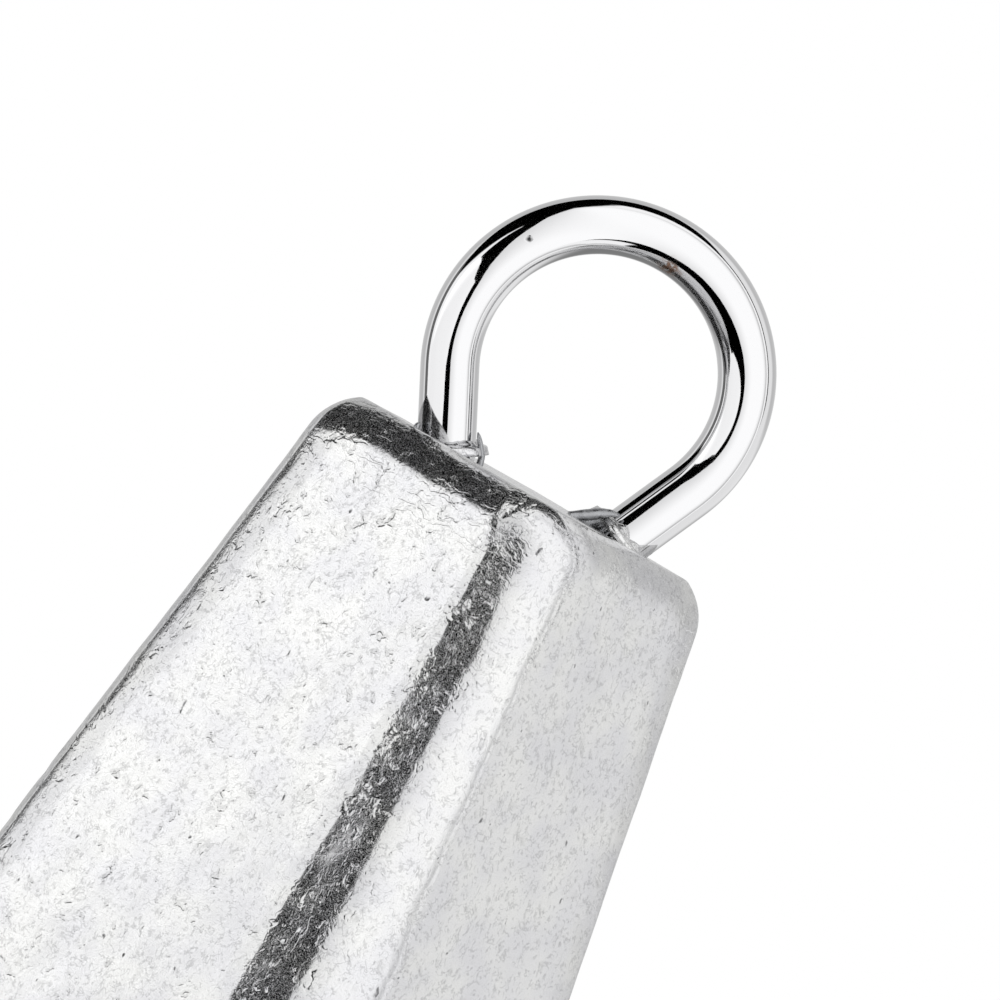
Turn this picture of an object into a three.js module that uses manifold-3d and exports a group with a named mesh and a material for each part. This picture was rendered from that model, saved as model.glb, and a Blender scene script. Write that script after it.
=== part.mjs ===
// Diamond jig: a heavy four-sided lead lure for deep-sea fishing, hanging as it hangs from its line.
// Millimetres, +Z up. The origin is the centre of the line eye's loop. The corners of the square
// body point along X and Y, both wire eyes lie in the XZ plane, and the hook hangs at the lower end.
import * as THREE from "three";
import { mergeVertices } from "three/addons/utils/BufferGeometryUtils.js";
import Module from "manifold-3d";

const wasm = await Module();
wasm.setup();

// Driving dimensions

const castingGap = 0.3; // between a piece and the one that is cast, brazed or hooked round it

const bodyEndSide = 10.2; // side of the square at both ends, before the edges are rounded
const bodyWidestSide = 25.1; // side of the square at the ridge
const lineTaperLength = 65; // from the line end down to the ridge
const hookTaperLength = 59; // from the ridge down to the hook end
const sideCornerRadius = 1.4; // of the two corners on X, where the halves of the mould meet
const roundCornerRadius = 2.25; // of the rounding on the two corners on Y
const stripWidth = 1.3; // of the flat strip beside that rounding
const stripTurn = 28; // degrees from the face on the strip's other side to the strip
const stripEdgeRadius = 0.4; // between that face and the strip
const endEdgeRadius = 1.7; // of the soft part of the edge round each end face
const endEdgeTurn = 55; // degrees that the soft part turns through
const endRimRadius = 0.35; // of the tight rest of that edge
const ridgeBlendLength = 5; // length over which each taper eases into the ridge

const eyeWire = 1.8; // diameter
const eyeLoopRadius = 4.5; // to the middle of the wire
const eyeLoopHeight = 4.1; // from the end face out to the loop's centre
const eyeLegAngle = 25.5; // degrees between a leg and the body's axis
const eyeLegsApart = 3.2; // between the two legs where they run side by side in the lead
const eyeLegBend = 3; // radius of the bend where a leg turns to run along the axis
const eyeLegDepth = 17; // how deep the legs go below the end face
const eyeAnchorBend = 2.2; // radius of the outward bend that holds a leg in the lead
const eyeAnchorAngle = 60; // degrees of that bend
const eyeAnchorLength = 1.6; // straight end after it
const lineEyeShift = 0.25; // the line eye was cast this far off the middle

const ringRadius = 6.35; // to the middle of the flat wire
const ringWireWide = 1.0; // along the ring's axis
const ringWireDeep = 1.3; // towards its centre
const ringWireCorner = 0.25; // taken off each corner of the flat wire
const ringTurnPitch = 1.55; // from one turn to the next
const ringTurns = 1.9;
const ringCrossing = 44; // degrees over which the wire steps from the first turn to the second
const ringSlack = 0.6; // above the wire that it hangs on, where the ring's flat turns ride up its curve

const hookWire = 2.0; // diameter
const hookEyeRadius = 3.2; // to the middle of the wire
const hookNeckRadius = 2.0; // of the bends that open the two shanks out into the eye
const hookShank = 34; // straight stretch of the shanks
const hookBendRadius = 8.2; // to the middle of the wire
const hookPointLength = 15; // from the bend up to the tip
const hookPointTaper = 7; // the last stretch, ground to a point
const hookBarbHeight = 6.2; // below the tip
const hookBarbReach = 1.5; // from the middle of the wire to the barb's tip
const hookBarbLength = 2.6; // of the cut that raises it
const hookBarbUndercut = 0.7; // of its lower side, from the tip back up to the wire
const hookBarbThickness = 0.7;
const hookTopChamfer = 0.4; // on the single hook's shank
const hookEyeDrop = 0.55; // of the hook eye's centre below the ring wire that it hangs on

const brazeBead = 0.36; // radius of each bead of braze between two shanks
const brazeInset = 2.0; // of a bead's ends from the ends of the shanks

// Materials

const finish = (color, roughness) =>
  new THREE.MeshStandardMaterial({ color, roughness, metalness: 1 });
const platedLead = finish(0xc9cacb, 0.34);
const polishedWire = finish(0xd4d5d7, 0.08);
const springSteel = finish(0xbfc2c6, 0.16);
const tinnedHook = finish(0xb4b7bb, 0.25);
const brazeFiller = finish(0xa9a49a, 0.42);

// Solids

const radians = THREE.MathUtils.degToRad;

function solid(geometry) {
  const bare = geometry.clone();
  bare.deleteAttribute("normal");
  bare.deleteAttribute("uv");
  const merged = mergeVertices(bare, 1e-4);
  return new wasm.Manifold(
    new wasm.Mesh({
      numProp: 3,
      vertProperties: merged.attributes.position.array,
      triVerts: new Uint32Array(merged.index.array),
    }),
  );
}

function geometryOf(manifold) {
  const { vertProperties, triVerts } = manifold.getMesh();
  const geometry = new THREE.BufferGeometry();
  geometry.setAttribute("position", new THREE.BufferAttribute(vertProperties, 3));
  geometry.setIndex(new THREE.BufferAttribute(triVerts, 1));
  geometry.computeVertexNormals();
  return geometry;
}

// A closed skin over rings of points, each ring with as many points as the next. The rings run
// anticlockwise, seen from where the last one lies, and a fan closes each end.
function skin(rings) {
  const around = rings[0].length;
  const points = rings.flat();
  const faces = [];
  for (let ring = 0; ring + 1 < rings.length; ring++) {
    for (let i = 0; i < around; i++) {
      const a = ring * around + i;
      const b = ring * around + ((i + 1) % around);
      faces.push(a, b, b + around, a, b + around, a + around);
    }
  }
  const middle = (ring) =>
    ring.reduce((sum, p) => sum.add(p), new THREE.Vector3()).divideScalar(around);
  const first = points.push(middle(rings[0])) - 1;
  const last = points.push(middle(rings.at(-1))) - 1;
  const lastRing = (rings.length - 1) * around;
  for (let i = 0; i < around; i++) {
    const j = (i + 1) % around;
    faces.push(first, j, i, last, lastRing + i, lastRing + j);
  }
  const geometry = new THREE.BufferGeometry().setFromPoints(points);
  geometry.setIndex(faces);
  geometry.computeVertexNormals();
  return geometry;
}

// A round wire whose thickness changes along it: `stations` are { at: Vector3, radius }.
function taperedWire(stations, sides) {
  const along = stations.map((_, i) => {
    const before = stations[Math.max(i - 1, 0)].at;
    const after = stations[Math.min(i + 1, stations.length - 1)].at;
    return after.clone().sub(before).normalize();
  });
  let across = new THREE.Vector3(0, 1, 0).cross(along[0]);
  if (across.lengthSq() < 0.01) across.set(1, 0, 0);
  const rings = stations.map(({ at, radius }, i) => {
    across = across.addScaledVector(along[i], -across.dot(along[i])).normalize();
    const up = along[i].clone().cross(across);
    return Array.from({ length: sides }, (_, k) => {
      const angle = (2 * Math.PI * k) / sides;
      return at
        .clone()
        .addScaledVector(across, radius * Math.cos(angle))
        .addScaledVector(up, radius * Math.sin(angle));
    });
  });
  return skin(rings);
}

// A flat path, drawn in X and Z, as a curve in space.
class UprightCurve extends THREE.Curve {
  constructor(path) {
    super();
    this.path = path;
  }
  getPoint(t, target = new THREE.Vector3()) {
    const { x, y } = this.path.getPoint(t);
    return target.set(x, 0, y);
  }
}

function wireAlong(curve, section, steps) {
  const shape = new THREE.Shape(section);
  return new THREE.ExtrudeGeometry(shape, { steps, extrudePath: curve, bevelEnabled: false });
}

function roundSection(diameter, sides) {
  const points = new THREE.Path().absarc(0, 0, diameter / 2, 0, 2 * Math.PI).getPoints(sides / 2);
  return points.slice(0, sides);
}

// The body

const lineEndZ = -eyeLoopHeight;
const ridgeZ = lineEndZ - lineTaperLength;
const hookEndZ = ridgeZ - hookTaperLength;
const lineTaper = (bodyWidestSide - bodyEndSide) / 2 / lineTaperLength;
const hookTaper = (bodyWidestSide - bodyEndSide) / 2 / hookTaperLength;

// A direction across the body, by its angle from the corner on -Y.
const facing = (angle) => new THREE.Vector2(Math.sin(angle), -Math.cos(angle));

// How far from the axis the strip's plane lies, so that the strip gets its width.
function stripDistance(halfSide) {
  const before = radians(stripTurn);
  const after = Math.PI / 2 - before;
  const reach =
    (halfSide - roundCornerRadius + Math.cos(after) * roundCornerRadius) / Math.sin(after) +
    (halfSide - stripEdgeRadius + Math.cos(before) * stripEdgeRadius) / Math.sin(before);
  return (reach - stripWidth) / (1 / Math.tan(before) + 1 / Math.tan(after));
}

// The body's outline at one height: six planes, with each corner between two of them rounded, and
// all of it moved in by `inset`.
function bodySection(halfSide, inset, z) {
  const leastRadius = 0.05;
  const strip = stripDistance(halfSide) - inset;
  const side = halfSide - inset;
  const turn = radians(stripTurn);
  const quarter = Math.PI / 2;
  const half = [
    { angle: -quarter / 2 + turn, distance: strip, radius: roundCornerRadius, steps: 6 },
    { angle: quarter / 2, distance: side, radius: sideCornerRadius, steps: 5 },
    { angle: quarter * 1.5, distance: side, radius: stripEdgeRadius, steps: 2 },
  ];
  const planes = [...half, ...half.map((plane) => ({ ...plane, angle: plane.angle + Math.PI }))];
  return planes.flatMap(({ angle, distance, radius, steps }, i) => {
    const next = planes[(i + 1) % planes.length];
    const turned = (next.angle - angle + 2 * Math.PI) % (2 * Math.PI);
    const rounding = Math.max(radius - inset, leastRadius);
    const slide =
      (next.distance - rounding - Math.cos(turned) * (distance - rounding)) / Math.sin(turned);
    const middle = facing(angle)
      .multiplyScalar(distance - rounding)
      .addScaledVector(facing(angle + quarter), slide);
    return Array.from({ length: steps + 1 }, (_, k) => {
      const point = middle.clone().addScaledVector(facing(angle + (turned * k) / steps), rounding);
      return new THREE.Vector3(point.x, point.y, z);
    });
  });
}

// The rounded edge round one end face: sections from the face inwards.
function endEdgeSections(endZ, inwards, taper) {
  const softTurn = radians(endEdgeTurn);
  const softDepth = endEdgeRadius * Math.sin(softTurn);
  const softInset = endEdgeRadius * (1 - Math.cos(softTurn));
  const wholeDepth = softDepth + endRimRadius * (1 - Math.sin(softTurn));
  const steps = 5;
  const rim = [1, 0.5].map((share) => {
    const tilt = softTurn + share * (Math.PI / 2 - softTurn);
    return {
      depth: endRimRadius * (1 - Math.sin(tilt)),
      inset: softInset + endRimRadius * (Math.cos(softTurn) - Math.cos(tilt)),
    };
  });
  const soft = Array.from({ length: steps + 1 }, (_, i) => {
    const tilt = softTurn * (1 - i / steps);
    return {
      depth: wholeDepth - endEdgeRadius * Math.sin(tilt),
      inset: endEdgeRadius * (1 - Math.cos(tilt)),
    };
  });
  return [...rim, ...soft].map(({ depth, inset }) =>
    bodySection(bodyEndSide / 2 + taper * depth, inset, endZ + inwards * depth),
  );
}

function ridgeSections() {
  const apex = new THREE.Vector2(bodyWidestSide / 2, ridgeZ);
  const above = new THREE.Vector2(apex.x - lineTaper * ridgeBlendLength, ridgeZ + ridgeBlendLength);
  const below = new THREE.Vector2(apex.x - hookTaper * ridgeBlendLength, ridgeZ - ridgeBlendLength);
  const ease = new THREE.QuadraticBezierCurve(below, apex, above);
  return ease.getPoints(6).map(({ x, y }) => bodySection(x, 0, y));
}

function makeLeadBody(eyeChannels) {
  const sections = [
    ...endEdgeSections(hookEndZ, 1, hookTaper),
    ...ridgeSections(),
    ...endEdgeSections(lineEndZ, -1, lineTaper).reverse(),
  ];
  return eyeChannels.reduce((body, channel) => body.subtract(solid(channel)), solid(skin(sections)));
}

// The two wire eyes. The path is drawn for an eye that stands up from an end face, with its loop's
// centre at the origin: up one leg, round the loop and down the other leg.

function eyePath(pastTheEnds) {
  const lean = radians(eyeLegAngle);
  const halfApart = eyeLegsApart / 2;
  const loopStartX = eyeLoopRadius * Math.cos(lean);
  const loopStartZ = -eyeLoopRadius * Math.sin(lean);
  const meetZ = loopStartZ - (loopStartX - halfApart) / Math.tan(lean);
  const bendReach = eyeLegBend * Math.tan(lean / 2);
  const footZ = -eyeLoopHeight - eyeLegDepth + eyeAnchorBend;
  const anchorAngle = radians(eyeAnchorAngle);
  const tipX = Math.sin(anchorAngle) * (eyeAnchorLength + pastTheEnds);
  const tipZ = Math.cos(anchorAngle) * (eyeAnchorLength + pastTheEnds);
  const footX = halfApart + eyeAnchorBend * (1 - Math.cos(anchorAngle));
  const footBendZ = footZ - eyeAnchorBend * Math.sin(anchorAngle);
  const bendTopX = halfApart + bendReach * Math.sin(lean);
  const bendTopZ = meetZ + bendReach * Math.cos(lean);

  const path = new THREE.Path();
  path.moveTo(footX + tipX, footBendZ - tipZ);
  path.lineTo(footX, footBendZ);
  path.absarc(halfApart + eyeAnchorBend, footZ, eyeAnchorBend, Math.PI + anchorAngle, Math.PI, true);
  path.lineTo(halfApart, meetZ - bendReach);
  path.absarc(halfApart + eyeLegBend, meetZ - bendReach, eyeLegBend, Math.PI, Math.PI - lean, true);
  path.lineTo(loopStartX, loopStartZ);
  path.absarc(0, 0, eyeLoopRadius, -lean, Math.PI + lean);
  path.lineTo(-bendTopX, bendTopZ);
  path.absarc(-halfApart - eyeLegBend, meetZ - bendReach, eyeLegBend, lean, 0, true);
  path.lineTo(-halfApart, footZ);
  path.absarc(-halfApart - eyeAnchorBend, footZ, eyeAnchorBend, 0, -anchorAngle, true);
  path.lineTo(-footX - tipX, footBendZ - tipZ);
  return new UprightCurve(path);
}

const eyeSides = 14;
const channelSides = 10;
const eyeWireGeometry = () => wireAlong(eyePath(0), roundSection(eyeWire, eyeSides), 68);
const eyeChannelGeometry = () => {
  const channel = (eyeWire + 2 * castingGap) / Math.cos(Math.PI / channelSides);
  return wireAlong(eyePath(castingGap), roundSection(channel, channelSides), 60);
};
const atLineEnd = (geometry) => geometry.translate(lineEyeShift, 0, 0);
const atHookEnd = (geometry) => geometry.rotateX(Math.PI).translate(0, 0, hookEndZ - eyeLoopHeight);

// The split ring: one flat wire wound twice, with a step from the first turn to the second.

const ringPivotZ = hookEndZ - eyeLoopHeight - eyeLoopRadius;
const ringCentreZ = ringPivotZ + eyeWire / 2 + ringSlack + ringWireDeep / 2 - ringRadius;

class SplitRingCurve extends THREE.Curve {
  getPoint(t, target = new THREE.Vector3()) {
    const turned = (t - 0.5) * 2 * Math.PI * ringTurns;
    const step = THREE.MathUtils.smoothstep(turned, -radians(ringCrossing) / 2, radians(ringCrossing) / 2);
    return target.set(
      (step - 0.5) * ringTurnPitch,
      ringRadius * Math.cos(turned),
      ringRadius * Math.sin(turned),
    );
  }
}

function makeSplitRing() {
  const steps = 64;
  const curve = new SplitRingCurve();
  const halfWide = ringWireWide / 2;
  const halfDeep = ringWireDeep / 2;
  const flatWide = halfWide - ringWireCorner;
  const flatDeep = halfDeep - ringWireCorner;
  const outline = [
    [halfWide, flatDeep],
    [flatWide, halfDeep],
    [-flatWide, halfDeep],
    [-halfWide, flatDeep],
    [-halfWide, -flatDeep],
    [-flatWide, -halfDeep],
    [flatWide, -halfDeep],
    [halfWide, -flatDeep],
  ];
  const rings = curve.getSpacedPoints(steps).map((at) => {
    const outwards = new THREE.Vector3(0, at.y, at.z).normalize();
    return outline.map(([wide, deep]) => {
      const point = at.clone().addScaledVector(outwards, deep);
      point.x += wide;
      return point;
    });
  });
  return skin(rings).translate(0, 0, ringCentreZ);
}

// The least gap between the two turns, on points along the middle of the wire.
function splitRingGap() {
  const samples = new SplitRingCurve().getSpacedPoints(600);
  const halfTurn = Math.floor(samples.length / ringTurns / 2);
  let least = Infinity;
  samples.forEach((a, i) => {
    for (const b of samples.slice(i + halfTurn)) {
      const sideways = Math.max(Math.abs(a.x - b.x) - ringWireWide, 0);
      const along = Math.hypot(a.y - b.y, a.z - b.z);
      least = Math.min(least, Math.hypot(sideways, along));
    }
  });
  return least;
}

// The treble hook: one wire bent into two hooks with the eye between them, and a third hook
// brazed beside them. The three shanks stand round the axis.

const ringWireLowZ = ringCentreZ - ringRadius;
const hookEyeZ = ringWireLowZ - hookEyeDrop;
const shankOffset = (hookWire + castingGap) / Math.sqrt(3);
const doubleShankX = shankOffset * Math.cos(Math.PI / 6);
const neckX = doubleShankX + hookNeckRadius;
const neckDrop = Math.sqrt((hookEyeRadius + hookNeckRadius) ** 2 - neckX ** 2);
const neckAngle = Math.atan2(neckDrop, neckX);
const shankTopZ = hookEyeZ - neckDrop;
const bendZ = shankTopZ - hookShank;
const hookSides = 12;
const doubleHookAngles = [-Math.PI / 6, (-5 * Math.PI) / 6];
const singleHookAngle = Math.PI / 2;

// From the lower end of a shank round the bend and up to the tip, in the plane at `angle`.
function bendAndPoint(angle) {
  const steps = 16;
  const place = (out, z, radius) => ({
    at: new THREE.Vector3(out * Math.cos(angle), out * Math.sin(angle), z),
    radius,
  });
  const middle = shankOffset + hookBendRadius;
  const stations = Array.from({ length: steps + 1 }, (_, i) => {
    const turned = (i / steps) * Math.PI;
    return place(
      middle - hookBendRadius * Math.cos(turned),
      bendZ - hookBendRadius * Math.sin(turned),
      hookWire / 2,
    );
  });
  const out = middle + hookBendRadius;
  const taperSteps = 4;
  for (let i = 0; i <= taperSteps; i++) {
    const share = i / taperSteps;
    const radius = (hookWire / 2) * Math.sqrt(1 - 0.995 * share);
    stations.push(place(out, bendZ + hookPointLength - hookPointTaper * (1 - share), radius));
  }
  return stations;
}

// The barb: a thin wedge that stands off the inner side of the point.
function barb(angle) {
  const out = shankOffset + 2 * hookBendRadius;
  const root = hookWire / 4;
  const tipZ = bendZ + hookPointLength - hookBarbHeight;
  const outline = new THREE.Shape([
    new THREE.Vector2(out - root, tipZ + hookBarbLength),
    new THREE.Vector2(out - hookBarbReach, tipZ),
    new THREE.Vector2(out - root, tipZ + hookBarbUndercut),
  ]);
  const wedge = new THREE.ExtrudeGeometry(outline, { depth: hookBarbThickness, bevelEnabled: false });
  return wedge.translate(0, 0, -hookBarbThickness / 2).rotateX(Math.PI / 2).rotateZ(angle);
}

const withBarbs = (wire, angles) => angles.reduce((hook, angle) => hook.add(solid(barb(angle))), wire);

// The eye and its neck, from one shank's top to the other's. Above the shanks the wire leans in
// from the back of the bundle to the middle, so that the hook hangs straight.
function hookEyeStations() {
  const backY = -shankOffset * Math.sin(Math.PI / 6);
  const path = new THREE.Path();
  path.moveTo(doubleShankX, -neckDrop);
  path.absarc(neckX, -neckDrop, hookNeckRadius, Math.PI, Math.PI - neckAngle, true);
  path.absarc(0, 0, hookEyeRadius, -neckAngle, Math.PI + neckAngle);
  path.absarc(-neckX, -neckDrop, hookNeckRadius, neckAngle, 0, true);
  const steps = 30;
  return path.getSpacedPoints(steps).map(({ x, y }) => {
    const leaning = THREE.MathUtils.smoothstep(y, -neckDrop, 0);
    return {
      at: new THREE.Vector3(x, backY * (1 - leaning), hookEyeZ + y),
      radius: hookWire / 2,
    };
  });
}

function makeDoubleHook() {
  const [right, left] = doubleHookAngles;
  const wire = taperedWire(
    [...bendAndPoint(right).reverse(), ...hookEyeStations(), ...bendAndPoint(left)],
    hookSides,
  );
  return withBarbs(solid(wire), doubleHookAngles);
}

function makeSingleHook() {
  const shank = (z, radius) => ({ at: new THREE.Vector3(0, shankOffset, z), radius });
  const wire = taperedWire(
    [
      shank(shankTopZ, hookWire / 2 - hookTopChamfer),
      shank(shankTopZ - hookTopChamfer, hookWire / 2),
      ...bendAndPoint(singleHookAngle),
    ],
    hookSides,
  );
  return withBarbs(solid(wire), [singleHookAngle]);
}

// A bead of braze in the groove between two shanks, on the side of the bundle at `angle`.
function makeBrazeBead(angle) {
  const toShank = hookWire / 2 + castingGap + brazeBead;
  const out = shankOffset / 2 + Math.sqrt(toShank ** 2 - ((hookWire + castingGap) / 2) ** 2);
  const top = shankTopZ - brazeInset;
  const bottom = bendZ + brazeInset;
  const station = (z, radius) => ({
    at: new THREE.Vector3(out * Math.cos(angle), out * Math.sin(angle), z),
    radius,
  });
  return taperedWire(
    [
      station(top, brazeBead / 3),
      station(top - brazeBead * 2, brazeBead),
      station(bottom + brazeBead * 2, brazeBead),
      station(bottom, brazeBead / 3),
    ],
    8,
  );
}

// The assembly

const jig = new THREE.Group();

function addPiece(name, geometry, material) {
  const mesh = new THREE.Mesh(geometry, material);
  mesh.name = name;
  jig.add(mesh);
}

const channels = [atLineEnd(eyeChannelGeometry()), atHookEnd(eyeChannelGeometry())];
const leadBody = makeLeadBody(channels);
addPiece("lead_body", geometryOf(leadBody), platedLead);
addPiece("line_eye", atLineEnd(eyeWireGeometry()), polishedWire);
addPiece("hook_eye", atHookEnd(eyeWireGeometry()), polishedWire);
addPiece("split_ring", makeSplitRing(), springSteel);
addPiece("treble_double_hook", geometryOf(makeDoubleHook()), tinnedHook);
addPiece("treble_single_hook", geometryOf(makeSingleHook()), tinnedHook);
const grooveAngles = { right: Math.PI / 6, left: (5 * Math.PI) / 6, back: -Math.PI / 2 };
for (const [side, angle] of Object.entries(grooveAngles)) {
  addPiece(`braze_seam_${side}`, makeBrazeBead(angle), brazeFiller);
}

const leadDensity = 11.34; // grams per cubic centimetre
console.log(`lead body ${((leadBody.volume() / 1000) * leadDensity).toFixed(0)} g`);
console.log(`least gap between the ring's turns ${splitRingGap().toFixed(2)} mm`);
console.log(`ring pivot z ${ringPivotZ.toFixed(3)}, hook pivot z ${ringWireLowZ.toFixed(3)}`);

export default jig;
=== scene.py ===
# %% [markdown]
# # A diamond jig, built round its CAD frame
#
# A diamond jig is a heavy four-sided lead lure. It hangs from its line by a wire eye, and a treble
# hook hangs from a second eye on a split ring. The CAD model gives every piece its place and size.
# Here each piece gets the shape and the surface that the eye sees, in the same frame.

# %% Load the frame
import math
import bpy
from mathutils import Matrix, Vector, noise


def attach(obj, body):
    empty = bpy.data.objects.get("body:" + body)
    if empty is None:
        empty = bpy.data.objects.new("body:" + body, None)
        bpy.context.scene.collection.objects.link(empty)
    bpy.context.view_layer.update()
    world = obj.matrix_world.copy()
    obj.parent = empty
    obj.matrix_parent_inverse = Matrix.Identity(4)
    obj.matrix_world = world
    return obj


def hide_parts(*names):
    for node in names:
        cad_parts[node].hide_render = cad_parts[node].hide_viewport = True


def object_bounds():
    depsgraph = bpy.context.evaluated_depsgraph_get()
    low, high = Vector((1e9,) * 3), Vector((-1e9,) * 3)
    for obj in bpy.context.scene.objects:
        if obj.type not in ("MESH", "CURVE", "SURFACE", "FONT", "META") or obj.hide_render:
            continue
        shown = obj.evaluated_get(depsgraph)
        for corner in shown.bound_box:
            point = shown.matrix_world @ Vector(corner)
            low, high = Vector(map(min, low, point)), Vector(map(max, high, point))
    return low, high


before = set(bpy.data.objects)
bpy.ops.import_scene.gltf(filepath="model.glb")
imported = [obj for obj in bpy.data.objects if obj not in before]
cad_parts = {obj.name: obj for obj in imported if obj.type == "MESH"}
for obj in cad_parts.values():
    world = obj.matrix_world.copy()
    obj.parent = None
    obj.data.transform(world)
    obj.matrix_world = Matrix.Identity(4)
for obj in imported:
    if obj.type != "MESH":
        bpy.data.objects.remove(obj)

cad_box = [list(corner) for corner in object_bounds()]
MM = 0.001  # the scene is in metres, and a maker thinks in millimetres
print("CAD box in mm:", [[round(v / MM, 2) for v in corner] for corner in cad_box])

# %% [markdown]
# ## The camera
#
# The jig leans to the right in the picture, and the camera looks at its upper end almost square on.
# Three directions fix that view: right, up and back towards the camera. They are worked out from an
# azimuth, an elevation and a lean.

# %% Viewing directions
view_azimuth, view_elevation, view_lean = math.radians(-11), math.radians(1.2), math.radians(28.3)
level_right = Vector((math.cos(view_azimuth), math.sin(view_azimuth), 0))
to_camera = Vector((
    math.sin(view_azimuth) * math.cos(view_elevation),
    -math.cos(view_azimuth) * math.cos(view_elevation),
    math.sin(view_elevation),
))
level_up = to_camera.cross(level_right)
picture_right = math.cos(view_lean) * level_right + math.sin(view_lean) * level_up
picture_up = math.cos(view_lean) * level_up - math.sin(view_lean) * level_right
print("towards the camera:", [round(v, 3) for v in to_camera])

# %% [markdown]
# The picture takes in about 30 mm. The camera's aim is worked out from where the wire eye lies in
# the picture. The lens is long, because the edges of a close-up taken from far away stay nearly
# parallel.

# %% Camera
pixels_per_mm, picture_pixels = 32.8, 1000
eye_pixel = Vector((598, 371.5))  # where the middle of the wire eye lies in the picture
eye_middle = Vector((0.25, 0, 0)) * MM
eye_right = (eye_pixel.x - picture_pixels / 2) / pixels_per_mm * MM
eye_above = (picture_pixels / 2 - eye_pixel.y) / pixels_per_mm * MM
aim = eye_middle - eye_right * picture_right - eye_above * picture_up

camera_data = bpy.data.cameras.new("camera")
camera_data.lens, camera_data.sensor_width = 400, 36
camera_distance = picture_pixels / pixels_per_mm * MM * camera_data.lens / camera_data.sensor_width
camera_data.clip_start, camera_data.clip_end = camera_distance / 50, camera_distance * 50
camera = bpy.data.objects.new("camera", camera_data)
camera.matrix_world = Matrix.Translation(aim + camera_distance * to_camera) @ Matrix((
    (picture_right.x, picture_up.x, to_camera.x, 0),
    (picture_right.y, picture_up.y, to_camera.y, 0),
    (picture_right.z, picture_up.z, to_camera.z, 0),
    (0, 0, 0, 1),
))
scene = bpy.context.scene
scene.collection.objects.link(camera)
scene.camera = camera
scene.view_settings.view_transform = "Standard"
print(f"camera {camera_distance / MM:.0f} mm from the aim point")

# %% [markdown]
# ## Nodes and colours
#
# Two helpers serve every material. One turns a colour written in sRGB hex, as a maker would pick it
# on a screen, into the linear values that the shaders count in. The other adds a node, gives it its
# settings, links or fills its sockets, and hands back the output that the next node needs. Values
# given in a row fill the node's sockets in their order, and the rest go by the socket's name.

# %% Helpers for materials
def linear(hex_colour):
    channels = [int(hex_colour[i:i + 2], 16) / 255 for i in (1, 3, 5)]
    return [c / 12.92 if c <= 0.04045 else ((c + 0.055) / 1.055) ** 2.4 for c in channels] + [1]


def add(tree, kind, *values, sockets=None, output=0, **settings):
    made = tree.nodes.new("ShaderNode" + kind)
    for name, value in settings.items():
        setattr(made, name, value)
    for socket, value in {**dict(enumerate(values)), **(sockets or {})}.items():
        if isinstance(value, bpy.types.NodeSocket):
            tree.links.new(value, made.inputs[socket])
        else:
            made.inputs[socket].default_value = value
    return made.outputs[output] if made.outputs else None


eased = {"interpolation_type": "SMOOTHSTEP"}  # the setting of a Map Range that eases in and out
print("mid grey #808080 is", round(linear("#808080")[0], 3), "in linear light")

# %% [markdown]
# ## The studio
#
# Polished metal has hardly any look of its own: it shows the room. The room here is a small light
# tent. Two white cards stand close in front, left and right, and the camera looks through the black
# gap between them, which opens towards the top and the bottom. A third card fills the gap far below.
# The side walls, white too, run back to a white backdrop, under a black roof.
#
# What is far away can be drawn in the world, by direction alone: a direction is measured along the
# tent's own right, up and front, each from -1 to 1. A part of the tent is then a region: all the
# directions that lie above a few limits, with soft edges.

# %% Directions and regions of the tent
world = bpy.data.worlds.new("light_tent")
scene.world = world
world.use_nodes = True
room = world.node_tree
room.nodes.clear()
direction = add(room, "TexCoord", output="Generated")
across, upwards, frontwards = [
    add(room, "VectorMath", direction, axis[:], operation="DOT_PRODUCT", output="Value")
    for axis in (picture_right, picture_up, to_camera)
]


def region(*limits):
    """1 where every value lies above its limit, easing to 0 over the softness on either side."""
    share = 1.0
    for value, limit, softness in limits:
        low, high = [add(room, "Math", limit, s, operation="ADD") for s in (-softness, softness)]
        inside = add(room, "MapRange", value, low, high, **eased)
        share = add(room, "Math", share, inside, operation="MULTIPLY")
    return share


print("three directions in", len(room.nodes), "nodes")

# %% [markdown]
# Each side wall is the region between its edges. Where a limit comes first and the direction
# second, the wall lies below that limit. Both walls end at the same place in front,
# where the cards take over. The right one ends just under the roof. The left one's upper edge slopes
# up towards the front, so that the long left face of the jig mirrors it as a thin line only.

# %% Side walls
wall_softness = 0.015
wall_front_end = 0.42
right_wall = region(
    (across, 0.05, wall_softness),
    (frontwards, 0.005, wall_softness),
    (wall_front_end, frontwards, wall_softness),
    (0.96, upwards, wall_softness),
)
left_wall_top = add(room, "Math", frontwards, 0.6, 0.63, operation="MULTIPLY_ADD")
left_wall = region(
    (-0.3, across, wall_softness),
    (frontwards, -0.07, wall_softness),
    (wall_front_end, frontwards, wall_softness),
    (left_wall_top, upwards, 2 * wall_softness),
)
print("side walls in", len(room.nodes), "nodes")

# %% [markdown]
# The backdrop is what lies behind the walls. The roof cuts into it where a direction points up, and
# it gets darker further back. Three regions of it have a level of their own: bright at the lower
# right, dim at the left where it meets the wall, and dim low in the middle.

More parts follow.
